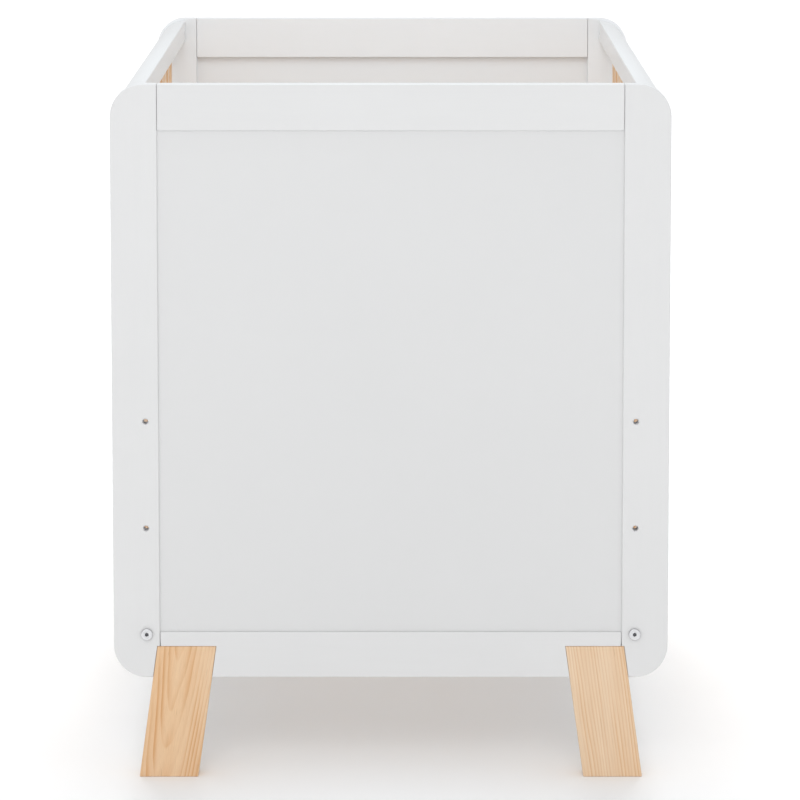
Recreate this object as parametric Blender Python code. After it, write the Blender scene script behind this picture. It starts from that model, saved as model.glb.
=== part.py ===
"""A baby crib in metres, +Z up, with its length along Y and its feet on z = 0.

Two framed end panels stand on splayed legs. Two slatted long sides join them. A steel mattress
support hangs on a bolt in each stile and can be hung at any of three heights.
"""

import math

import bmesh
import bpy
from mathutils import Matrix, Vector

# Clearances
GAP = 0.0003  # between pieces that touch
REACH = 0.010  # how far a cutting shape runs past the face that it opens

# The whole crib
WIDTH = 0.762
HEIGHT = 0.958
INSIDE_LENGTH = 1.330  # between the end panels, for a standard crib mattress
PANEL_BOTTOM = 0.140  # height of the end panels' lower edge above the floor

# End panels
END_THICK = 0.022
FRAME_WIDTH = 0.0635  # of the stiles and of both rails
CORNER_RADIUS = 0.045
CENTRE_THICK = 0.012
OUTER_RECESS = 0.003  # from the frame's outer face to the centre panel
PANEL_TONGUE = 0.008  # how far the centre panel enters its grooves
TENON_THICK = 0.010
TENON_LENGTH = 0.012
TENON_SHOULDER = 0.010  # at the rail's outer edge
TENON_MARGIN = 0.002  # between a tenon and a groove or a notch
ARRIS = 0.0014  # rounding of the painted edges

# Legs
LEG_WIDTH = 0.081
LEG_THICK = 0.044
LEG_LEAN = math.radians(8)
FOOT_FROM_SEAM = 0.0295  # from the seam beside the stile out to the foot's outer edge
RAIL_OVER_LEG = 0.0201  # what is left of the bottom rail above the leg
TONGUE_OVER_LEG = 0.0196  # how far the leg's back half rises above its front half
LEG_ARRIS = 0.0012

# Long sides
SIDE_INSET = 0.0035  # of the side rails from the end panels' outline
SIDE_RAIL_WIDTH = 0.0419
SIDE_RAIL_HEIGHT = 0.033
SIDE_ARRIS = 0.002
SLAT_IN_RAIL = 0.0194  # from the rails' inner face to the slats' inner face
SLAT_COUNT = 13
SLAT_WIDTH = 0.040
SLAT_THICK = 0.012
SLAT_ROUND = 0.003
SLAT_TENON = 0.012  # how far a slat enters each rail

# Support bolts
BOLT_FROM_SEAM = 0.018
BOLT_UNDER_RAIL = 0.0035  # lowest bolt below the level of the bottom rail's upper edge
BOLT_STEP = 0.148
BOLT_HEIGHTS = 3
HOLE_RADIUS = 0.0044
SHANK_RADIUS = 0.003
HEAD_RADIUS = 0.00825
HEAD_HEIGHT = 0.0032
HEAD_ROUND = 0.0012
SOCKET_ACROSS = 0.005
SOCKET_DEPTH = 0.002
SHANK_PAST_NUT = 0.002
NUT_ACROSS = 0.010
NUT_THICK = 0.005

# Mattress support
STEEL = 0.002
FLANGE = 0.025
TAB_HALF = 0.010  # half the width of a hanger tab
TAB_BELOW_BOLT = 0.012
RAIL_OVER_BOLT = 0.008  # underside of the end rails above the bolts' axes
GRID_WIRE = 0.003
GRID_MARGIN = 0.001  # between the wire grid and the flanges around it
LONG_WIRES = 7
CROSS_WIRES = 12

# Facets
CORNER_STEPS = 12
ARRIS_STEPS = 2
ROUND_STEPS = 16
SOFT_ANGLE = math.radians(30)  # edges sharper than this are eased, and shaded sharp

# Worked out from the sizes above
HALF_WIDTH = WIDTH / 2
HALF_LENGTH = INSIDE_LENGTH / 2
STILE_X = HALF_WIDTH - FRAME_WIDTH
TOP_RAIL_Z = HEIGHT - FRAME_WIDTH
BOTTOM_RAIL_TOP = PANEL_BOTTOM + FRAME_WIDTH
LEG_TOP = BOTTOM_RAIL_TOP - RAIL_OVER_LEG
FOOT_X = STILE_X + FOOT_FROM_SEAM
SIDE_RAIL_X = HALF_WIDTH - SIDE_INSET - SIDE_RAIL_WIDTH
SIDE_RAIL_Z = HEIGHT - SIDE_INSET - SIDE_RAIL_HEIGHT
SLAT_X = SIDE_RAIL_X + SLAT_IN_RAIL
MID_Z = (HEIGHT + PANEL_BOTTOM) / 2
CENTRE_Y = (END_THICK - OUTER_RECESS - CENTRE_THICK, END_THICK - OUTER_RECESS)
BOLT_X = STILE_X + BOLT_FROM_SEAM
BOLT_Z = BOTTOM_RAIL_TOP - BOLT_UNDER_RAIL
SUPPORT_X = BOLT_X + TAB_HALF
HANGER_Y = GAP + STEEL  # from the end panel's inner face to the hanger's inner face


# Shapes


def arc(centre, radius, start, stop, steps=CORNER_STEPS):
    """Points of an arc in a plane, by angles in degrees, both ends included."""
    angles = (math.radians(start + (stop - start) * i / steps) for i in range(steps + 1))
    return [(centre[0] + radius * math.cos(a), centre[1] + radius * math.sin(a)) for a in angles]


def prism(points, axis, low, high):
    """A closed outline pushed from low to high along X, or along Y. Its points are (Y, Z) or (X, Z)."""
    bm = bmesh.new()
    if axis == "X":
        places = [(low, y, z) for y, z in points]
        step = Vector((high - low, 0, 0))
    else:
        places = [(x, low, z) for x, z in points]
        step = Vector((0, high - low, 0))
    face = bm.faces.new([bm.verts.new(place) for place in places])
    return thicken(bm, [face], step)


def thicken(bm, faces, step):
    """Pushes flat faces by a step into a closed solid."""
    pushed = bmesh.ops.extrude_face_region(bm, geom=faces)["geom"]
    moved = [v for v in pushed if isinstance(v, bmesh.types.BMVert)]
    bmesh.ops.translate(bm, verts=moved, vec=step)
    bmesh.ops.recalc_face_normals(bm, faces=bm.faces)
    return bm


def box(low, high):
    bm = bmesh.new()
    size = Vector(high) - Vector(low)
    middle = (Vector(high) + Vector(low)) / 2
    bmesh.ops.create_cube(bm, size=1, matrix=Matrix.Translation(middle) @ Matrix.Diagonal((*size, 1)))
    return bm


def rod(x, z, radius, low, high, sides=ROUND_STEPS):
    """A round bar along Y."""
    bm = bmesh.new()
    place = Matrix.Translation((x, (low + high) / 2, z)) @ Matrix.Rotation(math.pi / 2, 4, "X")
    bmesh.ops.create_cone(
        bm, cap_ends=True, segments=sides, radius1=radius, radius2=radius, depth=high - low, matrix=place
    )
    return bm


def turned(profile):
    """A profile of (radius, y) points, from end to end of the axis, turned about Y."""
    bm = bmesh.new()
    verts = [bm.verts.new((r, y, 0)) for r, y in profile]
    edges = [bm.edges.new(pair) for pair in zip(verts, verts[1:])]
    bmesh.ops.spin(
        bm,
        geom=verts + edges,
        axis=(0, 1, 0),
        cent=(0, 0, 0),
        angle=math.tau,
        steps=ROUND_STEPS,
        use_merge=True,
    )
    bmesh.ops.remove_doubles(bm, verts=bm.verts, dist=1e-6)
    bmesh.ops.recalc_face_normals(bm, faces=bm.faces)
    return bm


def lean(bm):
    """Slants a shape the way the legs splay."""
    slant = Matrix.Identity(4)
    slant[0][2] = -math.tan(LEG_LEAN)
    bmesh.ops.transform(bm, matrix=slant, verts=bm.verts)
    return bm


def ease(bm, edges, width):
    bmesh.ops.bevel(
        bm, geom=edges, offset=width, offset_type="OFFSET", segments=ARRIS_STEPS, profile=0.5, affect="EDGES"
    )
    return bm


def ease_corners(bm, width):
    """Rounds every sharp edge that stands out, and leaves inside corners sharp."""
    sharp = [e for e in bm.edges if e.is_convex and e.calc_face_angle() > SOFT_ANGLE]
    return ease(bm, sharp, width)


# Objects


def workpiece(bm, name="workpiece"):
    mesh = bpy.data.meshes.new(name)
    bm.to_mesh(mesh)
    bm.free()
    obj = bpy.data.objects.new(name, mesh)
    bpy.context.scene.collection.objects.link(obj)
    return obj


def helper(bm):
    """A shape that only cuts or joins."""
    obj = workpiece(bm, "helper")
    obj.hide_render = True
    obj.display_type = "WIRE"
    return obj


def finished(name, blank, joined=(), cut=()):
    """The mesh of one piece: its blank, then what is joined on, then what is cut out."""
    piece = workpiece(blank)
    helpers = []
    for operation, shapes in (("UNION", joined), ("DIFFERENCE", cut)):
        for shape in shapes:
            helpers.append(helper(shape))
            boolean = piece.modifiers.new(operation.lower(), "BOOLEAN")
            boolean.operation = operation
            boolean.solver = "EXACT"
            boolean.object = helpers[-1]
    graph = bpy.context.evaluated_depsgraph_get()
    mesh = bpy.data.meshes.new_from_object(piece.evaluated_get(graph))
    mesh.name = name
    for used in [piece, *helpers]:
        bpy.data.objects.remove(used)
    smooth(mesh)
    return mesh


def smooth(mesh):
    mesh.shade_smooth()
    mesh.set_sharp_from_angle(angle=SOFT_ANGLE)


def other_hand(mesh):
    """The mirror image of a mesh, left for right."""
    bm = bmesh.new()
    bm.from_mesh(mesh)
    bmesh.ops.scale(bm, vec=(-1, 1, 1), verts=bm.verts)
    bmesh.ops.reverse_faces(bm, faces=bm.faces)
    mirrored = bpy.data.meshes.new(mesh.name + "_mirrored")
    bm.to_mesh(mirrored)
    bm.free()
    smooth(mirrored)
    return mirrored


def place(name, mesh, material, parent, location=(0, 0, 0), turn=0.0):
    obj = bpy.data.objects.new(name, mesh)
    obj.parent = parent
    obj.location = location
    obj.rotation_euler.z = turn
    if not mesh.materials:
        mesh.materials.append(material)
    bpy.context.scene.collection.objects.link(obj)
    return obj


def pivot(name, location=(0, 0, 0), turn=0.0):
    """An empty that a group of pieces hangs on."""
    empty = bpy.data.objects.new(name, None)
    empty.location = location
    empty.rotation_euler.z = turn
    bpy.context.scene.collection.objects.link(empty)
    return empty


def finish(name, colour, roughness, metallic=0.0):
    material = bpy.data.materials.new(name)
    material.use_nodes = True
    shader = material.node_tree.nodes["Principled BSDF"]
    shader.inputs["Base Color"].default_value = (*colour, 1)
    shader.inputs["Roughness"].default_value = roughness
    shader.inputs["Metallic"].default_value = metallic
    material.diffuse_color = (*colour, 1)
    return material


# End panels. Their frame: the inner face is y = 0 and the outer face is y = END_THICK.


def top_tenon(grow=0.0):
    """The tenon on the top rail's right end, or with grow its mortise."""
    middle = END_THICK / 2
    low = (STILE_X - REACH, middle - TENON_THICK / 2 - grow, TOP_RAIL_Z + PANEL_TONGUE + TENON_MARGIN - grow)
    high = (STILE_X + TENON_LENGTH + grow, middle + TENON_THICK / 2 + grow, HEIGHT - TENON_SHOULDER + grow)
    return low, high


def bottom_tenon(grow=0.0):
    """The tenon on the bottom rail's right end, between the leg's notch and the panel's groove."""
    middle = END_THICK / 2
    low_z = LEG_TOP + GAP + TENON_MARGIN
    high_z = BOTTOM_RAIL_TOP - PANEL_TONGUE - GAP - TENON_MARGIN / 2
    low = (STILE_X - REACH, middle - TENON_THICK / 2 - grow, low_z - grow)
    high = (STILE_X + TENON_LENGTH + grow, middle + TENON_THICK / 2 + grow, high_z + grow)
    return low, high


def both_ends(low, high):
    """A box and its mirror image at the other end of a rail."""
    return [box(low, high), box((-high[0], low[1], low[2]), (-low[0], high[1], high[2]))]


def groove(low, high):
    """The groove for the centre panel, from low to high in X and Z."""
    return box((low[0], CENTRE_Y[0] - GAP, low[1]), (high[0], CENTRE_Y[1] + GAP, high[1]))


def leg_notch():
    """The notch that a right leg fits, through the whole thickness of the end panel."""
    low = (FOOT_X - LEG_WIDTH - GAP, -REACH, PANEL_BOTTOM - REACH)
    high = (FOOT_X + GAP, END_THICK + REACH, LEG_TOP + GAP)
    return lean(box(low, high))


def mirrored(bm):
    bmesh.ops.scale(bm, vec=(-1, 1, 1), verts=bm.verts)
    bmesh.ops.reverse_faces(bm, faces=bm.faces)
    return bm


def stile_mesh():
    """The right stile, with its rounded outer corners, three bolt holes and the joints' mortises."""
    centre_x = HALF_WIDTH - CORNER_RADIUS
    outline = [(STILE_X, PANEL_BOTTOM)]
    outline += arc((centre_x, PANEL_BOTTOM + CORNER_RADIUS), CORNER_RADIUS, -90, 0)
    outline += arc((centre_x, HEIGHT - CORNER_RADIUS), CORNER_RADIUS, 0, 90)
    outline += [(STILE_X, HEIGHT)]
    depth = PANEL_TONGUE + GAP
    cuts = [
        groove((STILE_X - REACH, BOTTOM_RAIL_TOP - depth), (STILE_X + depth, TOP_RAIL_Z + depth)),
        box(*top_tenon(GAP)),
        box(*bottom_tenon(GAP)),
        leg_notch(),
    ]
    for step in range(BOLT_HEIGHTS):
        cuts.append(rod(BOLT_X, BOLT_Z + step * BOLT_STEP, HOLE_RADIUS, -REACH, END_THICK + REACH))
    return finished("stile", ease_corners(prism(outline, "Y", 0, END_THICK), ARRIS), cut=cuts)


def top_rail_mesh():
    length = STILE_X - GAP
    blank = ease_corners(box((-length, 0, TOP_RAIL_Z), (length, END_THICK, HEIGHT)), ARRIS)
    panel_groove = groove((-STILE_X, TOP_RAIL_Z - REACH), (STILE_X, TOP_RAIL_Z + PANEL_TONGUE + GAP))
    return finished("end_top_rail", blank, joined=both_ends(*top_tenon()), cut=[panel_groove])


def bottom_rail_mesh():
    length = STILE_X - GAP
    blank = ease_corners(box((-length, 0, PANEL_BOTTOM), (length, END_THICK, BOTTOM_RAIL_TOP)), ARRIS)
    panel_groove = groove(
        (-STILE_X, BOTTOM_RAIL_TOP - PANEL_TONGUE - GAP), (STILE_X, BOTTOM_RAIL_TOP + REACH)
    )
    cuts = [panel_groove, leg_notch(), mirrored(leg_notch())]
    return finished("end_bottom_rail", blank, joined=both_ends(*bottom_tenon()), cut=cuts)


def centre_panel_mesh():
    reach = STILE_X + PANEL_TONGUE
    low = (-reach, CENTRE_Y[0], BOTTOM_RAIL_TOP - PANEL_TONGUE)
    high = (reach, CENTRE_Y[1], TOP_RAIL_Z + PANEL_TONGUE)
    return finished("end_centre_panel", box(low, high))


def leg_mesh():
    """The right leg. Its front half fills the notch, and its back half laps the panel's inner face."""
    outline = [
        (END_THICK - LEG_THICK, 0),
        (END_THICK, 0),
        (END_THICK, LEG_TOP),
        (-GAP, LEG_TOP),
        (-GAP, LEG_TOP + TONGUE_OVER_LEG),
        (END_THICK - LEG_THICK, LEG_TOP + TONGUE_OVER_LEG),
    ]
    return finished("leg", ease_corners(lean(prism(outline, "X", FOOT_X - LEG_WIDTH, FOOT_X)), LEG_ARRIS))


def bolt_mesh():
    """A support bolt, its axis along y and its head past the end panel's outer face."""
    under_head = END_THICK + GAP
    tip = -(HANGER_Y + GAP + NUT_THICK + SHANK_PAST_NUT)
    top = under_head + HEAD_HEIGHT
    profile = [
        (0, tip),
        (SHANK_RADIUS - HEAD_ROUND / 2, tip),
        (SHANK_RADIUS, tip + HEAD_ROUND / 2),
        (SHANK_RADIUS, under_head),
        (HEAD_RADIUS, under_head),
    ]
    profile += arc((HEAD_RADIUS - HEAD_ROUND, top - HEAD_ROUND), HEAD_ROUND, 0, 90, ARRIS_STEPS)
    profile += [(0, top)]
    socket = rod(0, 0, SOCKET_ACROSS / math.sqrt(3), top - SOCKET_DEPTH, top + REACH, sides=6)
    return finished("support_bolt", turned(profile), cut=[socket])


def nut_mesh():
    """The nut behind a hanger tab, with flat sides above and below."""
    high = -(HANGER_Y + GAP)
    low = high - NUT_THICK
    blank = rod(0, 0, NUT_ACROSS / math.sqrt(3), low, high, sides=6)
    bmesh.ops.rotate(blank, verts=blank.verts, cent=(0, 0, 0), matrix=Matrix.Rotation(math.pi / 6, 3, "Y"))
    bore = rod(0, 0, SHANK_RADIUS + GAP, low - REACH, high + REACH)
    return finished("support_nut", blank, cut=[bore])


def end_panels(white, pine, zinc):
    stile = stile_mesh()
    leg = leg_mesh()
    hands = {"right": (stile, leg), "left": (other_hand(stile), other_hand(leg))}
    top_rail = top_rail_mesh()
    bottom_rail = bottom_rail_mesh()
    centre_panel = centre_panel_mesh()
    bolt = bolt_mesh()
    nut = nut_mesh()
    # The front end is the rear end turned half round, so its right-hand pieces stand on the left.
    ends = (("rear", 1, 0.0, {"right": 1, "left": -1}), ("front", -1, math.pi, {"left": 1, "right": -1}))
    for end, way, turn, sides in ends:
        frame = pivot(f"{end}_end", (0, way * HALF_LENGTH, 0), turn)
        place(f"{end}_end_top_rail", top_rail, white, frame)
        place(f"{end}_end_bottom_rail", bottom_rail, white, frame)
        place(f"{end}_end_centre_panel", centre_panel, white, frame)
        for side, x in sides.items():
            own_stile, own_leg = hands["right" if x > 0 else "left"]
            place(f"{end}_{side}_stile", own_stile, white, frame)
            place(f"{end}_{side}_leg", own_leg, pine, frame)
            place(f"{end}_{side}_support_bolt", bolt, zinc, frame, (x * BOLT_X, 0, BOLT_Z))
            place(f"{end}_{side}_support_nut", nut, zinc, frame, (x * BOLT_X, 0, BOLT_Z))


# Long sides. The right one is built at +X, and the left one is the same turned half round.


def slat_places():
    """The middle of each slat along Y, with equal gaps between slats and at both ends."""
    gap = (INSIDE_LENGTH - SLAT_COUNT * SLAT_WIDTH) / (SLAT_COUNT + 1)
    first = -HALF_LENGTH + gap + SLAT_WIDTH / 2
    return [first + i * (gap + SLAT_WIDTH) for i in range(SLAT_COUNT)]


def side_rail_section():
    """The top rail's section in X and Z. Its outer corner runs along the end panels' rounded corner."""
    radius = CORNER_RADIUS - SIDE_INSET
    centre = (HALF_WIDTH - CORNER_RADIUS, HEIGHT - CORNER_RADIUS)
    eased_x = SIDE_RAIL_X + SIDE_ARRIS
    eased_z = SIDE_RAIL_Z + SIDE_ARRIS
    start = math.asin((eased_z - centre[1]) / radius)
    stop = math.acos((eased_x - centre[0]) / radius)
    outer = centre[0] + radius * math.cos(start)
    top = centre[1] + radius * math.sin(stop)
    points = arc((outer - SIDE_ARRIS, eased_z), SIDE_ARRIS, -90, 0, ARRIS_STEPS)
    points += arc(centre, radius, math.degrees(start), math.degrees(stop))[1:]
    points += arc((eased_x, top - SIDE_ARRIS), SIDE_ARRIS, 90, 180, ARRIS_STEPS)[1:]
    points += arc((eased_x, eased_z), SIDE_ARRIS, 180, 270, ARRIS_STEPS)
    return points


def side_rail_mesh():
    """A long side's top rail, with a mortise in its underside for each slat."""
    length = HALF_LENGTH - GAP
    half = SLAT_WIDTH / 2 + GAP
    mortises = [
        box(
            (SLAT_X - GAP, y - half, SIDE_RAIL_Z - REACH),
            (SLAT_X + SLAT_THICK + GAP, y + half, SIDE_RAIL_Z + SLAT_TENON + GAP),
        )
        for y in slat_places()
    ]
    return finished("side_rail", prism(side_rail_section(), "Y", -length, length), cut=mortises)


def turned_over(mesh):
    """The same mesh upside down about the middle height of the end panels."""
    bm = bmesh.new()
    bm.from_mesh(mesh)
    bmesh.ops.translate(bm, verts=bm.verts, vec=(0, 0, -2 * MID_Z))
    bmesh.ops.scale(bm, vec=(1, 1, -1), verts=bm.verts)
    bmesh.ops.reverse_faces(bm, faces=bm.faces)
    turned_mesh = bpy.data.meshes.new(mesh.name + "_bottom")
    bm.to_mesh(turned_mesh)
    bm.free()
    smooth(turned_mesh)
    return turned_mesh


def slat_mesh():
    """A slat with its two broad faces' long edges rounded, its middle at y = 0."""
    high = SIDE_RAIL_Z + SLAT_TENON
    low = 2 * MID_Z - high
    blank = box((SLAT_X, -SLAT_WIDTH / 2, low), (SLAT_X + SLAT_THICK, SLAT_WIDTH / 2, high))
    upright = [e for e in blank.edges if e.verts[0].co.z != e.verts[1].co.z]
    return finished("slat", ease(blank, upright, SLAT_ROUND))


def long_sides(white, pine):
    top_rail = side_rail_mesh()
    bottom_rail = turned_over(top_rail)
    slat = slat_mesh()
    for side, turn in (("right", 0.0), ("left", math.pi)):
        frame = pivot(f"{side}_side", turn=turn)
        place(f"{side}_side_top_rail", top_rail, white, frame)
        place(f"{side}_side_bottom_rail", bottom_rail, white, frame)
        for number, y in enumerate(slat_places(), start=1):
            place(f"{side}_slat_{number:02d}", slat, pine, frame, (0, y, 0))


# Mattress support. Its frame: z = 0 is the height of the bolts that it hangs on.


def angle_section(outer, low):
    """An L section: one flange upright at outer, the other flat and running inwards."""
    return [
        (outer, low),
        (outer, low + FLANGE),
        (outer - STEEL, low + FLANGE),
        (outer - STEEL, low + STEEL),
        (outer - FLANGE, low + STEEL),
        (outer - FLANGE, low),
    ]


def end_rail_mesh():
    """The rear end rail with its two hanger tabs, whose slots open downwards over the bolts."""
    outer = HALF_LENGTH - GAP
    blank = prism(angle_section(outer, RAIL_OVER_BOLT), "X", -SUPPORT_X, SUPPORT_X)
    tabs = both_ends(
        (BOLT_X - TAB_HALF, outer - STEEL, -TAB_BELOW_BOLT), (SUPPORT_X, outer, RAIL_OVER_BOLT + FLANGE / 2)
    )
    width = SHANK_RADIUS + GAP
    cuts = both_ends(
        (BOLT_X - width, outer - STEEL - REACH, -TAB_BELOW_BOLT - REACH), (BOLT_X + width, outer + REACH, 0)
    )
    cuts += [rod(x, 0, width, outer - STEEL - REACH, outer + REACH) for x in (-BOLT_X, BOLT_X)]
    return finished("support_end_rail", blank, joined=tabs, cut=cuts)


def side_rail_low():
    return RAIL_OVER_BOLT + STEEL + GAP


def support_side_rail_mesh():
    """The right side rail, lapped on the end rails' flat flanges."""
    length = HALF_LENGTH - HANGER_Y - GAP
    section = angle_section(SUPPORT_X, side_rail_low())
    return finished("support_side_rail", prism(section, "Y", -length, length))


def bars(half, count, wire):
    """The two edges of each wire across a span, evenly spaced, with the outer wires at its ends."""
    step = (2 * half - wire) / (count - 1)
    middles = [-half + wire / 2 + i * step for i in range(count)]
    return [edge for m in middles for edge in (m - wire / 2, m + wire / 2)]


def grid_mesh():
    """The wire grid as one flat lattice, lying on the side rails' flat flanges."""
    low = side_rail_low() + STEEL + GAP
    xs = bars(SUPPORT_X - STEEL - GRID_MARGIN, LONG_WIRES, GRID_WIRE)
    ys = bars(HALF_LENGTH - HANGER_Y - GRID_MARGIN, CROSS_WIRES, GRID_WIRE)
    bm = bmesh.new()
    verts = [[bm.verts.new((x, y, low)) for y in ys] for x in xs]
    for i in range(len(xs) - 1):
        for j in range(len(ys) - 1):
            if i % 2 == 0 or j % 2 == 0:
                bm.faces.new((verts[i][j], verts[i + 1][j], verts[i + 1][j + 1], verts[i][j + 1]))
    return finished("support_wire_grid", thicken(bm, bm.faces[:], Vector((0, 0, GRID_WIRE))))


def mattress_support(steel):
    frame = pivot("mattress_support", (0, 0, BOLT_Z))
    end_rail = end_rail_mesh()
    side_rail = support_side_rail_mesh()
    for end, side, turn in (("rear", "right", 0.0), ("front", "left", math.pi)):
        place(f"support_{end}_rail", end_rail, steel, frame, turn=turn)
        place(f"support_{side}_rail", side_rail, steel, frame, turn=turn)
    place("support_wire_grid", grid_mesh(), steel, frame)


def build():
    for obj in list(bpy.data.objects):
        bpy.data.objects.remove(obj)
    white = finish("white_paint", (0.82, 0.82, 0.83), 0.45)
    pine = finish("natural_pine", (0.74, 0.52, 0.33), 0.5)
    zinc = finish("zinc_plate", (0.70, 0.70, 0.71), 0.3, metallic=1.0)
    steel = finish("white_powder_coat", (0.78, 0.78, 0.78), 0.4)
    end_panels(white, pine, zinc)
    long_sides(white, pine)
    mattress_support(steel)


build()
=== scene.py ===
"""The baby crib's finishes, soft edges and small fixings, with its floor, light and camera."""

from math import cos, inf, pi, radians, sin, sqrt, tan

import bmesh
import bpy
from mathutils import Matrix, Vector


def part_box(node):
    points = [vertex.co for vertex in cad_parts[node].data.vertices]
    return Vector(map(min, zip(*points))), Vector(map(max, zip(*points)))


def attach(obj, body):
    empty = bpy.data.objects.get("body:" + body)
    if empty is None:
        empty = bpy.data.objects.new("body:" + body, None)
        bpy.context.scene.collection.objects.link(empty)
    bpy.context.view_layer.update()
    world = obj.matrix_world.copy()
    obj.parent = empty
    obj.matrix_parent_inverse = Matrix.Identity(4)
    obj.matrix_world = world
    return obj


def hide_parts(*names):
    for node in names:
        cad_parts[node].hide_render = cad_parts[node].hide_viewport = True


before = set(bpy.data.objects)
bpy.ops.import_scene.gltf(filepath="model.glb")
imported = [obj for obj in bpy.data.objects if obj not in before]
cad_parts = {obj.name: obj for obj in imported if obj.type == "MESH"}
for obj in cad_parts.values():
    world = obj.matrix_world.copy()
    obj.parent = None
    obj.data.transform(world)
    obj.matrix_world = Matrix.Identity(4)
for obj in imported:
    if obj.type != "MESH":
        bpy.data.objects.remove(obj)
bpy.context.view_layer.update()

ENDS = {"front": -1, "rear": 1}  # the way each end panel faces along Y
SIDES = {"left": -1, "right": 1}  # the way each long side faces along X
SLATS = 13  # on each long side

# Camera, floor and light
CAMERA_PLACE = (0.0127, -7.439, 1.4915)
CAMERA_TILT = 81.86  # degrees from looking straight down
LENS = 224.6  # mm, on a 36 mm sensor
FLOOR_SIZE = 60.0
SKY_STRENGTH = 0.755  # for everything that the sky lights
BACKDROP_STRENGTH = 1.0  # for the sky as it is seen
# Each lamp's name, place, target, size and power in watts; the overhead one skips the floor
FRONT_LAMP = ("lamp_front", (-1.4, -5.6, 3.6), (0.0, 0.0, 0.6), 3.0, 33.0)
OVERHEAD_LAMP = ("lamp_overhead", (0.0, -0.45, 2.5), (0.0, 0.45, 0.9), 1.0, 15.0)
OVERHEAD_TINT = (0.82, 0.92, 1.0)
FLOOR_WASHES = (  # name, place, strength, spread in degrees; for the floor only
    ("wash_from_the_front", (0.0, -3.0, 1.65), 0.64, 22.0),
    ("wash_from_behind", (0.0, 3.0, 1.5), 1.85, 26.0),
)

# Shapes, in metres
MERGE = 0.00001  # vertices closer than this are one
FLAT_ANGLE = 0.2  # degrees; faces that turn less than this are one flat face
SOFT_ANGLE = 50  # degrees; sharper edges of a planed piece stay crisp
FIXING_ANGLE = 32  # the same, for turned fixings
ROUND = 48  # sides of a turned fixing
STEP = 0.0001  # between two rings of a turned fixing that lie on one flat face
GAP = 0.0003  # between faces that lie close together
ARRIS_WIDTH = 0.0026  # at most, of one face of a softened edge
NEARLY_SQUARE = 0.985  # part of a face's normal along one axis, when it isn't an arris

# Bolts, nuts and threaded sleeves
BOLT_RADIUS = 0.003
BOLT_TIP = 0.001  # plain end past the thread
HEAD_ROUND = 0.0012
HEAD_FILLET = 0.0004  # where the shank meets the head
SOCKET_ACROSS = 0.005
SOCKET_DEPTH = 0.002
SOCKET_CHAMFER = 0.00035
PAINTED_RIM_DARKNESS = 0.55  # painted dark reflection on the rounded rim of a head, beside 1 for the painted shade in its socket
THREADED = 0.014  # length of a bolt's threaded end
THREAD_PITCH = 0.001
THREAD_DEPTH = 0.0004
HEIGHT_STEP = 0.148  # between the heights of the mattress support
SLEEVE_RADIUS = 0.0042
SLEEVE_INSET = 0.0012  # from each face of the stile
SLEEVE_PLAY = 0.0002  # round a bolt

# Leg screws, cam locks and rivets
SCREW_RADIUS = 0.0042
SCREW_PROUD = 0.0005
SCREW_LENGTH = 0.012
SCREW_CROSS = 0.0026  # from the middle of the recess to the end of an arm
SCREW_PAINTED_SHADE = (0.0018, 0.0001)  # what is nearer to the middle and lower than this gets painted shade
SCREW_LIFT = 0.00005  # off the leg's face
SCREW_PLACES = ((0.152, -0.018), (0.186, 0.016))  # height, and distance outwards of the leg's middle
CAM_RADIUS = 0.0075
CAM_PROUD = 0.0006
CAM_DISH = 0.0004  # from the drum's rim down to its disc
CAM_LENGTH = 0.010
CAM_PAINTED_SHADE = (CAM_RADIUS * 0.4, -0.0002)  # the same, for a drum
CAM_FROM_END = 0.034
RIVET_DOME = 0.0018
RIVET_PER_FLANGE = 0.14  # radius of a rivet's dome, as a part of the flange's width
DOME_STEPS = 5

# Mattress support
STEEL = 0.002  # thickness of its angle steel
GRID_WIRE = 0.003
LONG_WIRES = 7
CROSS_WIRES = 12
WIRE_SIDES = 12
WIRE_BITE = 0.0002  # how far the cross wires are welded into the side rails
WIRE_STEP = 0.78  # between the middles of two crossing wires, as a part of their thickness
BEAD = 1.25  # radius of a weld bead, as a part of the wire's
BEAD_SPREAD = (1.15, 1.15, 0.80)

# Legs and timber
LEG_WIDTH = 0.081
LEG_LEAN = 8  # degrees
RING_SPACING = 0.0042
HEART_RADIUS = 0.1  # timber nearer to the pith than this is deeper in colour than its board
HEART_FADE = 5.0  # per metre of radius
# Each cut of a leg: place of the pith across it and behind its middle, tilt in degrees, depth of colour
ARCHED = ((0.006, 0.050), 3.4, 0.38)
STRIPED = ((0.095, 0.020), 0.6, 0.12)


# ---------------------------------------------------------------- shader nodes


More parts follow.
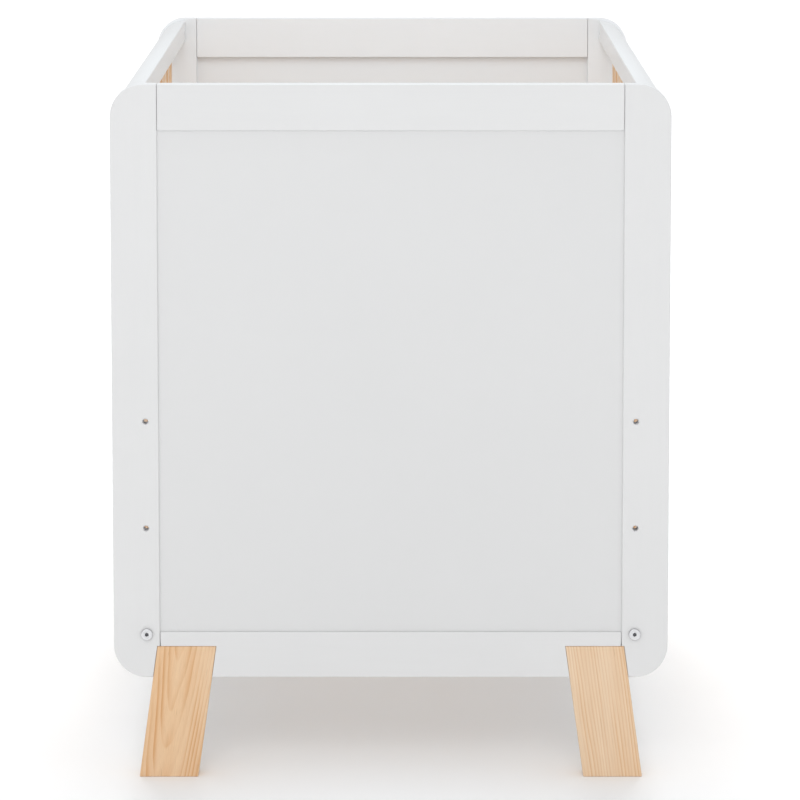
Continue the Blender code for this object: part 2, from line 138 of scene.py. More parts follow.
class Socket:
    """The output of a shader node. Arithmetic on it adds Math nodes to the same tree."""

    def __init__(self, tree, output=None):
        self.tree = tree
        self.output = output

    def node(self, kind, settings, inputs, output=0):
        """Adds a node, sets it up, feeds it with values or sockets, and returns one output."""
        new = self.tree.nodes.new(kind)
        for name, value in settings.items():
            if name == "stops":
                self.set_stops(new.color_ramp, value)
            else:
                setattr(new, name, value)
        for name, value in inputs.items():
            if isinstance(value, Socket):
                self.tree.links.new(value.output, new.inputs[name])
            else:
                new.inputs[name].default_value = value
        return Socket(self.tree, new.outputs[output])

    @staticmethod
    def set_stops(ramp, stops):
        """Gives a colour ramp its grey stops, each a place and a level."""
        while len(ramp.elements) < len(stops):
            ramp.elements.new(1.0)
        for element, (place, level) in zip(ramp.elements, stops):
            element.position = place
            element.color = (level, level, level, 1.0)

    def math(self, operation, *values):
        return self.node("ShaderNodeMath", {"operation": operation}, dict(enumerate(values)))

    def __add__(self, other):
        return self.math("ADD", self, other)

    __radd__ = __add__

    def __sub__(self, other):
        return self.math("SUBTRACT", self, other)

    def __rsub__(self, other):
        return self.math("SUBTRACT", other, self)

    def __mul__(self, other):
        return self.math("MULTIPLY", self, other)

    def __truediv__(self, other):
        return self.math("DIVIDE", self, other)

    def fract(self):
        return self.math("FRACT", self)

    def stretched(self, x, y, z):
        """A position scaled along each of its axes."""
        return self.node("ShaderNodeVectorMath", {"operation": "MULTIPLY"}, {0: self, 1: (x, y, z)})

    def moved(self, other):
        """A position moved by another vector."""
        return self.node("ShaderNodeVectorMath", {"operation": "ADD"}, {0: self, 1: other})

    def length(self):
        """How far a position is from zero."""
        return self.node("ShaderNodeVectorMath", {"operation": "LENGTH"}, {0: self}, "Value")

    def noise(self, scale, detail=2.0, roughness=0.5):
        """Soft noise at this position, from 0 to 1."""
        inputs = {"Vector": self, "Scale": scale, "Detail": detail, "Roughness": roughness}
        return self.node("ShaderNodeTexNoise", {}, inputs, "Fac")

    def drift(self, scale, reach):
        """A vector that wanders by about the given reach, in metres."""
        inputs = {"Vector": self, "Scale": scale, "Detail": 2.0}
        colour = self.node("ShaderNodeTexNoise", {}, inputs, "Color")
        centred = self.node("ShaderNodeVectorMath", {"operation": "SUBTRACT"}, {0: colour, 1: (0.5,) * 3})
        return centred.stretched(reach, reach, reach)

    def ramp(self, *stops):
        """This value passed through straight steps of (place, level)."""
        return self.node("ShaderNodeValToRGB", {"stops": stops}, {"Fac": self}, "Color")

    def tint(self, low, high):
        """A colour between two, at this value."""
        return self.node("ShaderNodeMix", {"data_type": "RGBA"}, {0: self, 6: low, 7: high}, 2)

    def bump(self, height, distance):
        """The surface normal over a height from 0 to 1, that many metres high."""
        return self.node("ShaderNodeBump", {}, {"Height": height, "Distance": distance, "Strength": 1.0})


def new_finish(name, **shader_values):
    """A material with one shader: returns it, the shader's inputs, and a root for further nodes."""
    material = bpy.data.materials.new(name)
    material.use_nodes = True
    tree = material.node_tree
    tree.nodes.clear()
    output = tree.nodes.new("ShaderNodeOutputMaterial")
    shader = tree.nodes.new("ShaderNodeBsdfPrincipled")
    tree.links.new(shader.outputs["BSDF"], output.inputs["Surface"])
    for socket, value in shader_values.items():
        shader.inputs[socket.replace("_", " ")].default_value = value
    return material, shader.inputs, Socket(tree)


def feed(inputs, **sockets):
    """Links sockets to a shader's inputs."""
    for name, socket in sockets.items():
        socket.tree.links.new(socket.output, inputs[name.replace("_", " ")])


def attribute(root, name, output="Vector"):
    """What is written on the mesh under this name: a Vector, or a Fac for a single value."""
    return root.node("ShaderNodeAttribute", {"attribute_name": name}, {}, output)


def on_object(root):
    """Position on the piece, in metres."""
    return root.node("ShaderNodeTexCoord", {}, {}, "Object")


# ---------------------------------------------------------------- finishes


def satin_paint(name, grain, light, dark):
    """White satin paint, from light to dark in tone; the timber's grain shows faintly through it."""
    material, shader, root = new_finish(name, Coat_Roughness=0.22, Specular_IOR_Level=0.5)
    place = attribute(root, "log")
    on_arris = attribute(root, "arris", "Fac")
    fibres = place.stretched(1.0, 1.0, 0.035).noise(620.0, 3.0, 0.62)
    rings = place.stretched(1.0, 1.0, 0.06).noise(95.0, 2.0)
    film = place.noise(1400.0, 2.0)
    ripple = place.noise(210.0, 2.0)
    cloud = place.noise(5.0, 3.0)
    # the tone is a little darker on the narrow arris faces
    tone = cloud * 0.55 + fibres * 0.25 * grain + rings * 0.2 * grain + on_arris * 0.35
    feed(
        shader,
        Base_Color=tone.tint((light, light, light, 1.0), (dark, dark, dark, 1.0)),
        Roughness=0.33 + ripple * 0.10 + fibres * 0.06,
        Coat_Weight=0.30 - on_arris * 0.15,
        Normal=root.bump(film * 0.25 + ripple * 0.45 + (fibres * 0.6 + rings * 0.5) * grain, 0.00006),
    )
    return material


def lacquered_pine(name):
    """Light pine under clear satin lacquer, with growth rings round the log that it was cut from."""
    material, shader, root = new_finish(name, Coat_Roughness=0.20, Specular_IOR_Level=0.45)
    place = attribute(root, "log")
    on_arris = attribute(root, "arris", "Fac")
    slow = place.stretched(1.0, 1.0, 0.16).drift(15.0, 0.016)
    quick = place.stretched(1.0, 1.0, 0.10).drift(70.0, 0.0022)
    radius = place.moved(slow).moved(quick).stretched(1.0, 1.0, 0.0).length()
    season = radius / RING_SPACING + place.stretched(1.0, 1.0, 0.10).noise(40.0) * 0.9
    late_wood = season.fract().ramp((0.0, 0.0), (0.40, 0.12), (0.80, 0.80), (0.93, 1.0), (1.0, 0.0))
    year = place.stretched(1.0, 1.0, 0.05).noise(60.0, 1.0).ramp((0.0, 0.0), (0.32, 0.0), (0.70, 1.0))
    bands = place.stretched(1.0, 1.0, 0.06).noise(52.0, 2.0).ramp((0.0, 0.0), (0.36, 0.0), (0.66, 1.0))
    fibres = place.stretched(1.0, 1.0, 0.022).noise(900.0, 3.0, 0.65)
    ducts = place.stretched(1.0, 1.0, 0.05).noise(430.0, 1.0).ramp((0.0, 0.0), (0.70, 0.0), (0.78, 1.0))
    blush = place.stretched(1.0, 1.0, 0.25).noise(17.0, 2.0).ramp((0.0, 0.0), (0.32, 0.0), (0.68, 1.0))
    heart = attribute(root, "heart", "Fac") + (HEART_RADIUS - radius) * HEART_FADE
    warm = blush * 0.45 + heart * 0.75
    early_colour = warm.tint((0.955, 0.765, 0.570, 1.0), (0.930, 0.640, 0.385, 1.0))
    late_colour = warm.tint((0.795, 0.485, 0.245, 1.0), (0.760, 0.395, 0.165, 1.0))
    amount = late_wood * (0.14 + year * 0.86) + bands * 0.26
    timber = amount.tint(early_colour, late_colour)
    streak = fibres.ramp((0.0, 0.0), (0.30, 0.0), (0.75, 1.0))
    # the colour is a little darker on the narrow arris faces too
    dark = streak * 0.19 + ducts * 0.22 + on_arris * 0.10
    shade = dark.tint(timber, (0.43, 0.23, 0.10, 1.0))
    feed(
        shader,
        Base_Color=shade,
        Roughness=0.42 + fibres * 0.12 - late_wood * 0.06,
        Coat_Weight=0.22 + late_wood * 0.08,
        Normal=root.bump(fibres * 0.5 + late_wood * 0.35 - ducts * 0.5, 0.00010),
    )
    return material


def zinc_plate(name):
    """Bright zinc plate on steel: fine scratches, a cloudy bloom and duller spots, with painted shade in
    recesses and a painted dark reflection on bolt head rims.
    """
    material, shader, root = new_finish(name, Metallic=1.0, Specular_IOR_Level=0.5)
    place = on_object(root)
    bloom = place.noise(160.0, 3.0)
    scratches = place.stretched(1.0, 0.15, 0.3).noise(5200.0, 2.0, 0.6)
    spots = place.noise(900.0, 2.0).ramp((0.0, 0.0), (0.55, 0.0), (0.75, 1.0))
    recess = attribute(root, "recess", "Fac")
    plate = (bloom * 0.7 + spots * 0.3).tint((0.86, 0.86, 0.87, 1.0), (0.66, 0.66, 0.68, 1.0))
    feed(
        shader,
        # the recess attribute paints shade into sockets and recesses, and a dark reflection onto bolt
        # head rims
        Base_Color=recess.tint(plate, (0.16, 0.16, 0.17, 1.0)),
        Roughness=0.20 + scratches * 0.16 + spots * 0.10 + recess * 0.25,
        Normal=root.bump(scratches * 0.6 + spots * 0.4, 0.00003),
    )
    return material


def powder_coat(name):
    """White powder coat, with the dimpled skin that it bakes to."""
    material, shader, root = new_finish(name, Coat_Roughness=0.35, Specular_IOR_Level=0.5)
    place = on_object(root)
    dimples = place.noise(680.0, 2.0)
    waves = place.noise(190.0, 2.0)
    cloud = place.noise(14.0, 3.0)
    feed(
        shader,
        Base_Color=cloud.tint((0.80, 0.80, 0.80, 1.0), (0.73, 0.73, 0.735, 1.0)),
        Roughness=0.42 + dimples * 0.14,
        Coat_Weight=0.10 + waves * 0.10,
        Normal=root.bump(dimples * 0.7 + waves * 0.3, 0.00008),
    )
    return material


def studio_floor(name):
    """Matt white sweep, a little cool."""
    material, shader, root = new_finish(name, Specular_IOR_Level=0.15)
    place = on_object(root)
    cloud = place.noise(3.0, 4.0)
    feed(
        shader,
        Base_Color=cloud.tint((0.92, 0.93, 0.94, 1.0), (0.90, 0.91, 0.92, 1.0)),
        Roughness=0.72 + cloud * 0.10,
    )
    return material


PAINTED_TIMBER = satin_paint("satin_white_on_timber", grain=1.0, light=0.845, dark=0.785)
# the board's paint is darker than the timber's, as painted shade for the recessed centre panels; its
# fainter grain is the board's own
SHADED_BOARD_PAINT = satin_paint("satin_white_on_board", grain=0.12, light=0.800, dark=0.765)
PINE = lacquered_pine("lacquered_pine")
ZINC = zinc_plate("zinc_plated_steel")
POWDER = powder_coat("white_powder_coat")


# ---------------------------------------------------------------- planed pieces


def log_frame(along, across, pith, shift, tilt=0.0):
    """From the crib to the log that a board was cut from, whose pith is its Z axis.

    along is the grain's direction and across the width of the board. pith is the place of the
    pith, across the board and behind its face; shift slides the grain along; tilt, in degrees,
    leans the board across the rings.
    """
    along = Vector(along).normalized()
    across = Vector(across).normalized()
    behind = along.cross(across)
    turn = Matrix((across, behind, along)).to_4x4()
    lean = Matrix.Rotation(radians(tilt), 4, "X")
    return Matrix.Translation((*pith, shift)) @ lean @ turn


def log_about(middle, along, across, pith, shift, tilt):
    """The same, with the pith's place and the tilt counted from the middle of the piece."""
    board = log_frame(along, across, (0, 0), 0)
    lean = Matrix.Rotation(radians(tilt), 4, "X")
    return Matrix.Translation((*pith, shift)) @ lean @ Matrix.Translation(-(board @ middle)) @ board


def write_log_places(mesh, to_log):
    """Each vertex's place in the log, which the grain follows."""
    places = mesh.attributes.new("log", "FLOAT_VECTOR", "POINT")
    for vertex, place in zip(mesh.vertices, places.data):
        place.vector = to_log @ vertex.co


def write_arrises(mesh):
    """Marks the corners of the narrow faces that soften the edges."""
    marks = mesh.attributes.new("arris", "FLOAT", "CORNER")
    for face in mesh.polygons:
        longest = max((mesh.vertices[a].co - mesh.vertices[b].co).length for a, b in face.edge_keys)
        square = max(abs(part) for part in face.normal) > NEARLY_SQUARE
        narrow = 0.0 if square or face.area / longest > ARRIS_WIDTH else 1.0
        for corner in face.loop_indices:
            marks.data[corner].value = narrow


def write_heart(mesh, heart):
    """How near the heartwood the board was cut, from pale (0) to deep (1)."""
    marks = mesh.attributes.new("heart", "FLOAT", "POINT")
    for mark in marks.data:
        mark.value = heart


def dressed(node, material, to_log, heart=0.5):
    """A seamless copy of a timber piece, with evenly soft edges; it stands in for the node."""
    work = bmesh.new()
    work.from_mesh(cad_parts[node].data)
    bmesh.ops.remove_doubles(work, verts=work.verts, dist=MERGE)
    bmesh.ops.dissolve_limit(work, angle_limit=radians(FLAT_ANGLE), verts=work.verts, edges=work.edges)
    mesh = bpy.data.meshes.new(node + "_planed")
    work.to_mesh(mesh)
    work.free()
    mesh.materials.clear()
    mesh.materials.append(material)
    write_log_places(mesh, to_log)
    write_heart(mesh, heart)
    write_arrises(mesh)
    mesh.shade_smooth()
    mesh.set_sharp_from_angle(angle=radians(SOFT_ANGLE))
    piece = bpy.data.objects.new(node + "_planed", mesh)
    bpy.context.scene.collection.objects.link(piece)
    flats = piece.modifiers.new("flat faces shade flat", "WEIGHTED_NORMAL")
    flats.keep_sharp = True
    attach(piece, "crib_frame")
    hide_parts(node)


def centre(node):
    """The middle of a CAD node's box."""
    low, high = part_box(node)
    return (low + high) / 2


def dress_end_panels():
    """Each painted piece lies elsewhere in its log, so that no two show the same grain."""
    for end_number, (end, out) in enumerate(ENDS.items()):
        for number, part in enumerate(("top_rail", "bottom_rail")):
            node = f"{end}_end_{part}"
            middle = centre(node)
            pith = (0.02 - middle.z, 0.09 + 0.3 * number - out * middle.y)
            to_log = log_frame((1, 0, 0), (0, 0, 1), pith, 0.7 * number + end_number, 0.5)
            dressed(node, PAINTED_TIMBER, to_log)
        node = f"{end}_end_centre_panel"
        # the centre panel's darker paint is painted shade for its recess
        dressed(node, SHADED_BOARD_PAINT, log_frame((0, 0, 1), (1, 0, 0), (0, 0), 3.0))
        for side, way in SIDES.items():
            node = f"{end}_{side}_stile"
            to_log = log_frame((0, 0, 1), (1, 0, 0), (0.05 * way, 0.4), way + 2.5 * end_number, 0.5)
            dressed(node, PAINTED_TIMBER, to_log)


def dress_legs():
    """Seen from either end, the leg on the left shows arches and the one on the right stripes."""
    for end, out in ENDS.items():
        for side, way in SIDES.items():
            node = f"{end}_{side}_leg"
            along = Vector((-way * tan(radians(LEG_LEAN)), 0, 1)).normalized()
            across = Vector((1, 0, 0)) - along * along.x
            if way * out > 0:
                (aside, behind), tilt, heart = ARCHED
            else:
                (aside, behind), tilt, heart = STRIPED
                aside = -aside * way
            shift = 0.31 * way + 0.17 * out
            to_log = log_about(centre(node), along, across, (aside, behind), shift, tilt)
            dressed(node, PINE, to_log, heart)


def dress_long_sides():
    """The slats differ in where they lie in the log, in tilt and in depth of colour."""
    for side, way in SIDES.items():
        for number, part in enumerate(("top_rail", "bottom_rail")):
            node = f"{side}_side_{part}"
            to_log = log_frame((0, 1, 0), (1, 0, 0), (0.35 * way, 0.1 + number), 4.0 * number + way, 0.4)
            dressed(node, PAINTED_TIMBER, to_log)
        for number in range(1, SLATS + 1):
            node = f"{side}_slat_{number:02d}"
            turned = (number * 7 + (3 if way > 0 else 0)) % 5
            pith = (0.02 * turned - 0.03, 0.035 + 0.012 * turned)
            shift = 0.83 * number + 5.0 * way
            tilt = 0.35 + 0.3 * turned
            to_log = log_about(centre(node), (0, 0, 1), (0, 1, 0), pith, shift, tilt)
            heart = (number * 5 + (2 if way > 0 else 0)) % 7 / 10 - 0.1
            dressed(node, PINE, to_log, heart)


def coat_support_rails():
    for side in ("front", "rear", "left", "right"):
        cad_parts[f"support_{side}_rail"].material_slots[0].material = POWDER


dress_end_panels()
dress_legs()
dress_long_sides()
coat_support_rails()


# ---------------------------------------------------------------- fixings


def ring(work, sides, radius, height, cuts=0):
    """A level wire polygon round the Z axis, with its corners at the radius; returns its edges."""
    before = set(work.edges)
    made = bmesh.ops.create_circle(work, cap_ends=False, segments=sides, radius=radius)
    bmesh.ops.translate(work, verts=made["verts"], vec=(0.0, 0.0, height))
    if cuts:
        new = [edge for edge in work.edges if edge not in before]
        bmesh.ops.subdivide_edges(work, edges=new, cuts=cuts)
    return [edge for edge in work.edges if edge not in before]


def circle(radius, height):
    """One ring of a turned fixing, drawn when the rings are stacked."""
    return lambda work: ring(work, ROUND, radius, height)


def hexagon(across, height):
    """A hexagon by its width across the flats, with as many points as a circle."""
    return lambda work: ring(work, 6, across / sqrt(3), height, ROUND // 6 - 1)


def plus_sign(reach, half, height):
    """The outline of a cross recess by its reach and its arms' half width, with a circle's points."""

    def draw(work):
        before = set(work.edges)
        corners = []
        for quarter in range(4):
            turn = Matrix.Rotation(quarter * pi / 2, 3, "Z")
            for x, y in ((reach, half), (half, half), (half, reach)):
                corners.append(work.verts.new(turn @ Vector((x, y, height))))
        outline = [work.edges.new(pair) for pair in zip(corners, corners[1:] + corners[:1])]
        bmesh.ops.subdivide_edges(work, edges=outline, cuts=ROUND // 12 - 1)
        return [edge for edge in work.edges if edge not in before]

    return draw


def stacked(rings, tube=False):
    """A solid through the rings in turn: closed by its first and last ring, or back round to the first.

    Neighbouring rings differ in height, even on a flat face, because the bridge between two rings
    at one height can twist across the hole.
    """
    work = bmesh.new()
    drawn = [draw(work) for draw in rings]
    if tube:
        drawn.append(drawn[0])
    for lower, upper in zip(drawn, drawn[1:]):
        bmesh.ops.bridge_loops(work, edges=lower + upper)
    if not tube:
        bmesh.ops.contextual_create(work, geom=drawn[0])
        bmesh.ops.contextual_create(work, geom=drawn[-1])
    bmesh.ops.recalc_face_normals(work, faces=work.faces)
    return work


def facing(place, outward):
    """Puts a fixing's Z axis along the outward direction, with its origin at the place."""
    turn = Vector(outward).to_track_quat("Z", "Y").to_matrix().to_4x4()
    return Matrix.Translation(place) @ turn


def paint_shade_in_recess(work, radius, height, rim=inf):
    """Paints shade on the faces near the Z axis and below a height, as in a recess, and a lighter painted
    dark reflection on those past the rim.
    """
    marks = work.loops.layers.float.new("recess")
    for face in work.faces:
        middle = face.calc_center_median()
        reach = middle.xy.length
        if reach < radius and middle.z < height:
            mark = 1.0
        elif reach > rim:
            mark = PAINTED_RIM_DARKNESS
        else:
            mark = 0.0
        for corner in face.loops:
            corner[marks] = mark


def settle(work, name, body, material, places):
    """Makes the finished piece, with one copy of the shape at each place, and returns it."""
    shape = bpy.data.meshes.new(name + "_shape")
    work.to_mesh(shape)
    work.free()
    whole = bmesh.new()
    for place in places:
        first = len(whole.verts)
        whole.from_mesh(shape)
        whole.verts.ensure_lookup_table()
        bmesh.ops.transform(whole, matrix=place, verts=whole.verts[first:])
    bpy.data.meshes.remove(shape)
    mesh = bpy.data.meshes.new(name)
    whole.to_mesh(mesh)
    whole.free()
    mesh.materials.append(material)
    mesh.shade_smooth()
    mesh.set_sharp_from_angle(angle=radians(FIXING_ANGLE))
    piece = bpy.data.objects.new(name, mesh)
    bpy.context.scene.collection.objects.link(piece)
    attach(piece, body)
    return piece


def thread(radius, start, end):
    """Rings for a screw thread, cut into a rod along Z."""
    turns = round(abs(end - start) / THREAD_PITCH)
    rings = []
    for turn in range(turns):
        height = start + (end - start) * (turn + 0.25) / turns
        rings.append(circle(radius - THREAD_DEPTH, height))
        height = start + (end - start) * (turn + 0.75) / turns
        rings.append(circle(radius, height))
    return rings


def bolt_shape(head_radius, head_height, shank_radius, length):
    """A flat-headed bolt: the underside of its head is at zero, with the shank below."""
    edge = HEAD_ROUND
    chamfer = 0.0003
    socket = SOCKET_ACROSS
    rings = [
        hexagon(socket * 0.86, head_height - SOCKET_DEPTH),
        hexagon(socket, head_height - SOCKET_DEPTH * 0.85),
        hexagon(socket, head_height - SOCKET_CHAMFER),
        circle(socket * 0.66, head_height - STEP),
        circle(head_radius - edge, head_height),
        circle(head_radius - edge * 0.62, head_height - edge * 0.08),
        circle(head_radius - edge * 0.29, head_height - edge * 0.29),
        circle(head_radius - edge * 0.08, head_height - edge * 0.62),
        circle(head_radius, head_height - edge),
        circle(head_radius, chamfer),
        circle(head_radius - chamfer, 0.0),
        circle(shank_radius + HEAD_FILLET, STEP),
        circle(shank_radius, -HEAD_FILLET),
        circle(shank_radius, THREADED - length),
        *thread(shank_radius, THREADED - length, BOLT_TIP - length),
        circle(shank_radius - THREAD_DEPTH, BOLT_TIP * 0.8 - length),
        circle(shank_radius - BOLT_TIP * 1.2, -length),
    ]
    return stacked(rings)


def nut_shape(across, thick, bore):
    """A hexagon nut on the Z axis, from zero up, with both faces chamfered."""
    lead_in = 0.0005
    mouth = bore + lead_in
    chamfered = across * 0.475
    corner = thick * 0.13
    rings = [
        circle(mouth, STEP),
        circle(chamfered, 0.0),
        hexagon(across, corner),
        hexagon(across, thick - corner),
        circle(chamfered, thick),
        circle(mouth, thick - STEP),
        *thread(bore + THREAD_DEPTH, thick - lead_in, lead_in),
    ]
    return stacked(rings, tube=True)


def sleeve_shape(outer, bore, length):
    """A threaded sleeve from zero up, with its edges and the mouths of its bore chamfered."""
    chamfer = 0.0002
    mouth = bore + 0.0003
    lead_in = 0.0007
    rings = [
        circle(outer - chamfer, 0.0),
        circle(outer, chamfer),
        circle(outer, length - chamfer),
        circle(outer - chamfer, length),
        circle(mouth, length - STEP),
        *thread(bore + THREAD_DEPTH, length - lead_in, lead_in),
        circle(mouth, STEP),
    ]
    return stacked(rings, tube=True)


def screw_shape(radius, proud, length, cross):
    """A countersunk screw head on a face at zero, with a cross recess and a short shank."""
    depth = 0.0016
    rings = [
        plus_sign(cross * 0.55, cross * 0.16, proud - depth),
        plus_sign(cross, cross * 0.20, proud - STEP),
        circle(radius * 0.80, proud),
        circle(radius * 0.96, proud * 0.75),
        circle(radius, 0.0),
        circle(radius, -0.0003),
        circle(radius * 0.42, -length * 0.55),
        circle(radius * 0.38, -length),
    ]
    return stacked(rings)


def cam_shape(radius, proud, length):
    """A cam lock's drum: a rimmed disc with a cross recess, set into the timber."""
    depth = 0.0022
    disc = proud - CAM_DISH
    rings = [
        plus_sign(radius * 0.30, radius * 0.08, proud - depth),
        plus_sign(radius * 0.52, radius * 0.10, disc - STEP),
        circle(radius * 0.74, disc),
        circle(radius * 0.80, proud),
        circle(radius * 0.94, proud - STEP),
        circle(radius, proud * 0.4),
        circle(radius, -length),
    ]
    return stacked(rings)


def rivet_shape(radius, dome, grip):
    """A rivet: a dome above zero, a shank and a flatter head below the two plates."""
    rings = [circle(radius * 0.12, dome)]
    for step in range(1, DOME_STEPS + 1):
        angle = pi / 2 * step / DOME_STEPS
        rings.append(circle(radius * sin(angle), dome * cos(angle)))
    rings += [
        circle(radius * 0.55, STEP),
        circle(radius * 0.55, -grip),
        circle(radius * 0.85, -grip - STEP),
        circle(radius * 0.85, -grip - dome * 0.35),
        circle(radius * 0.60, -grip - dome * 0.55),
    ]
    return stacked(rings)


def panel_thickness():
    low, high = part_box("front_left_stile")
    return high.y - low.y


def fit_bolt(end, out, side):
    """A bolt whose head stands on the stile's outer face."""
    node = f"{end}_{side}_support_bolt"
    low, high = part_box(node)
    face = centre(f"{end}_left_stile").y + out * panel_thickness() / 2
    tip = low.y if out > 0 else high.y
    crown = high.y if out > 0 else low.y
    radius = (high.x - low.x) / 2
    proud = abs(crown - face) - GAP
    work = bolt_shape(radius, proud, BOLT_RADIUS, abs(face - tip) + GAP)
    # painted shade in the socket and a painted dark reflection on the head's rim
    paint_shade_in_recess(work, SOCKET_ACROSS * 0.6, proud - GAP, rim=radius - HEAD_ROUND * 0.29)
    axis = (low + high) / 2
    seat = Vector((axis.x, face + out * GAP, axis.z))
    name = f"{end}_{side}_hex_socket_bolt"
    bolt = settle(work, name, "crib_frame", ZINC, [facing(seat, (0, out, 0))])
    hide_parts(node)


def fit_nut(end, out, side):
    """A nut behind the hanger tab, round the bolt's shank."""
    node = f"{end}_{side}_support_nut"
    low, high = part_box(node)
    axis = centre(f"{end}_{side}_support_bolt")
    across = min(high.x - low.x, high.z - low.z)
    inner = Vector((axis.x, low.y if out > 0 else high.y, axis.z))
    work = nut_shape(across, high.y - low.y, BOLT_RADIUS + GAP)
    name = f"{end}_{side}_hexagon_nut"
    nut = settle(work, name, "crib_frame", ZINC, [facing(inner, (0, out, 0))])
    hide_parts(node)


def fit_bolts_and_nuts():
    for end, out in ENDS.items():
        for side in SIDES:
            fit_bolt(end, out, side)
            fit_nut(end, out, side)


def fit_sleeves():
    """Threaded sleeves in the two upper holes of each stile, just below its faces."""
    length = panel_thickness() - 2 * SLEEVE_INSET
    for end, out in ENDS.items():
        for side in SIDES:
            axis = centre(f"{end}_{side}_support_bolt")
            start = centre(f"{end}_{side}_stile").y - out * length / 2
            places = []
            for step in (1, 2):
                places.append(facing((axis.x, start, axis.z + step * HEIGHT_STEP), (0, out, 0)))
            work = sleeve_shape(SLEEVE_RADIUS, BOLT_RADIUS + SLEEVE_PLAY, length)
            settle(work, f"{end}_{side}_threaded_sleeves", "crib_frame", ZINC, places)


def fit_leg_screws():
    """Two screws through each leg's tongue into the bottom rail."""
    for end, out in ENDS.items():
        for side, way in SIDES.items():
            low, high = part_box(f"{end}_{side}_leg")
            inner = low.y if out > 0 else high.y
            foot = way * (max(abs(low.x), abs(high.x)) - LEG_WIDTH / 2)
            places = []
            for height, outwards in SCREW_PLACES:
                x = foot - way * height * tan(radians(LEG_LEAN)) + outwards * way
                places.append(facing((x, inner - out * SCREW_LIFT, height), (0, -out, 0)))
            work = screw_shape(SCREW_RADIUS, SCREW_PROUD, SCREW_LENGTH, SCREW_CROSS)
            # painted shade in the cross recess
            paint_shade_in_recess(work, *SCREW_PAINTED_SHADE)
            settle(work, f"{end}_{side}_leg_screws", "crib_frame", ZINC, places)


def fit_cam_locks():
    """The drums that draw each side rail onto the end panels, in its inner face."""
    for side, way in SIDES.items():
        for part in ("top_rail", "bottom_rail"):
            low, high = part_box(f"{side}_side_{part}")
            inner = low.x if way > 0 else high.x
            places = []
            for y in (low.y + CAM_FROM_END, high.y - CAM_FROM_END):
                places.append(facing((inner, y, (low.z + high.z) / 2), (-way, 0, 0)))
            work = cam_shape(CAM_RADIUS, CAM_PROUD, CAM_LENGTH)
            # painted shade in the cross recess
            paint_shade_in_recess(work, *CAM_PAINTED_SHADE)
            settle(work, f"{side}_side_{part}_cam_locks", "crib_frame", ZINC, places)


def fit_rivets():
    """One rivet at each lapped corner of the mattress support."""
    low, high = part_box("support_right_rail")
    flange = high.x - low.x
    top = low.z + STEEL
    across = (low.x + high.x) / 2
    along = centre("support_rear_rail").y
    places = []
    for y in (-along, along):
        for x in (-across, across):
            places.append(facing((x, y, top), (0, 0, 1)))
    work = rivet_shape(flange * RIVET_PER_FLANGE, RIVET_DOME, 2 * STEEL + GAP)
    settle(work, "support_corner_rivets", "mattress_support", ZINC, places)


def wire(start, end):
    """Where a wire of unit length along Z goes to run from start to end."""
    run = Vector(end) - Vector(start)
    return facing(start, run) @ Matrix.Diagonal((1.0, 1.0, run.length, 1.0))


def spread(reach, count, number):
    """The place of one of a row of wires, spread evenly from minus the reach to the reach."""
    return -reach + 2 * reach * number / (count - 1)


def weave_grid():
    """Welded round wires: a rim and cross wires on the side rails, long wires under them."""
    low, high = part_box("support_wire_grid")
    radius = GRID_WIRE / 2
    level = low.z + radius - WIRE_BITE
    under = level - GRID_WIRE * WIRE_STEP
    reach_x = high.x - radius
    reach_y = high.y - radius
    runs = []
    for number in range(LONG_WIRES):
        x = spread(reach_x, LONG_WIRES, number)
        height = level if abs(x) > reach_x - radius else under
        runs.append(wire((x, -high.y, height), (x, high.y, height)))
    crossings = []
    for number in range(CROSS_WIRES):
        y = spread(reach_y, CROSS_WIRES, number)
        runs.append(wire((-reach_x, y, level), (reach_x, y, level)))
        for long in range(LONG_WIRES):
            x = spread(reach_x, LONG_WIRES, long)
            crossings.append(Matrix.Translation((x, y, (level + under) / 2)))
    work = bmesh.new()
    bmesh.ops.create_cone(
        work, cap_ends=True, segments=WIRE_SIDES, radius1=radius, radius2=radius, depth=1.0
    )
    bmesh.ops.translate(work, verts=work.verts, vec=(0.0, 0.0, 0.5))
    grid = settle(work, "support_welded_wires", "mattress_support", POWDER, runs)
    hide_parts("support_wire_grid")
    work = bmesh.new()
    bmesh.ops.create_icosphere(work, subdivisions=2, radius=radius * BEAD)
    bmesh.ops.scale(work, vec=BEAD_SPREAD, verts=work.verts)
    settle(work, "support_wire_welds", "mattress_support", POWDER, crossings)


fit_bolts_and_nuts()
fit_sleeves()
fit_leg_screws()
fit_cam_locks()
fit_rivets()
weave_grid()


# ---------------------------------------------------------------- floor, light and camera


def lay_floor():
    work = bmesh.new()
    bmesh.ops.create_grid(work, x_segments=4, y_segments=4, size=FLOOR_SIZE / 2)
    mesh = bpy.data.meshes.new("floor")
    work.to_mesh(mesh)
    work.free()
    mesh.materials.append(studio_floor("studio_floor"))
    floor = bpy.data.objects.new("floor", mesh)
    bpy.context.scene.collection.objects.link(floor)


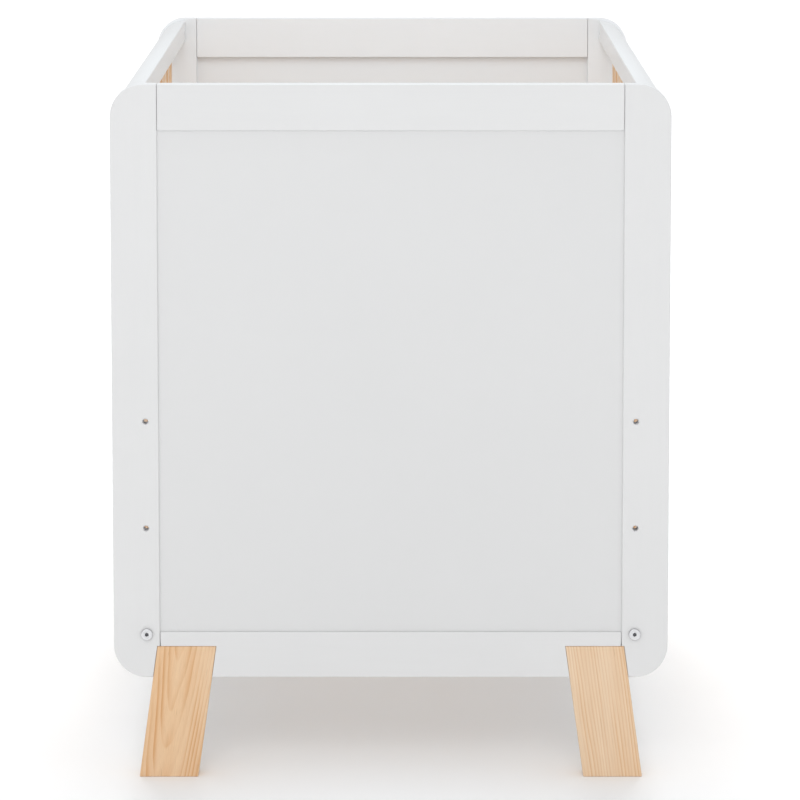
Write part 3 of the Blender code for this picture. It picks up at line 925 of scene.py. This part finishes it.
def hang(lamp, place, target):
    """Puts a lamp at a place, turned towards a target and out of the camera's sight."""
    holder = bpy.data.objects.new(lamp.name, lamp)
    bpy.context.scene.collection.objects.link(holder)
    holder.location = place
    holder.rotation_euler = (Vector(target) - Vector(place)).to_track_quat("-Z", "Y").to_euler()
    holder.visible_camera = False
    return holder


def soft_lamp(name, place, target, size, power):
    lamp = bpy.data.lights.new(name, "AREA")
    lamp.size = size
    lamp.energy = power
    return hang(lamp, place, target)


def only_light(holder, items):
    """Keeps a lamp's light to some of the objects."""
    takers = bpy.data.collections.new("lit_by_" + holder.name)
    for item in items:
        takers.objects.link(item)
    holder.light_linking.receiver_collection = takers


def open_sky():
    """An even white sky, a little brighter to the eye than the light it gives."""
    world = bpy.data.worlds.new("studio")
    bpy.context.scene.world = world
    world.use_nodes = True
    sky = Socket(world.node_tree)
    seen = sky.node("ShaderNodeLightPath", {}, {}, "Is Camera Ray")
    strength = seen * (BACKDROP_STRENGTH - SKY_STRENGTH) + SKY_STRENGTH
    background = world.node_tree.nodes["Background"]
    background.inputs["Color"].default_value = (1.0, 1.0, 1.0, 1.0)
    world.node_tree.links.new(strength.output, background.inputs["Strength"])


def light_softly():
    """A sky, two soft lamps, and two washes of light that only the floor takes."""
    open_sky()
    floor = bpy.data.objects["floor"]
    pieces = [item for item in bpy.data.objects if item.type == "MESH" and item != floor]
    soft_lamp(*FRONT_LAMP)
    overhead = soft_lamp(*OVERHEAD_LAMP)
    overhead.data.color = OVERHEAD_TINT
    only_light(overhead, pieces)
    for name, place, strength, angle in FLOOR_WASHES:
        wash = bpy.data.lights.new(name, "SUN")
        wash.energy = strength
        wash.angle = radians(angle)
        only_light(hang(wash, place, (0.0, 0.0, 0.0)), [floor])


def place_camera():
    lens = bpy.data.cameras.new("camera")
    lens.lens = LENS
    camera = bpy.data.objects.new("camera", lens)
    bpy.context.scene.collection.objects.link(camera)
    camera.location = CAMERA_PLACE
    camera.rotation_euler = (radians(CAMERA_TILT), 0.0, 0.0)
    bpy.context.scene.camera = camera


lay_floor()
light_softly()
place_camera()
bpy.context.scene.view_settings.view_transform = "Standard"
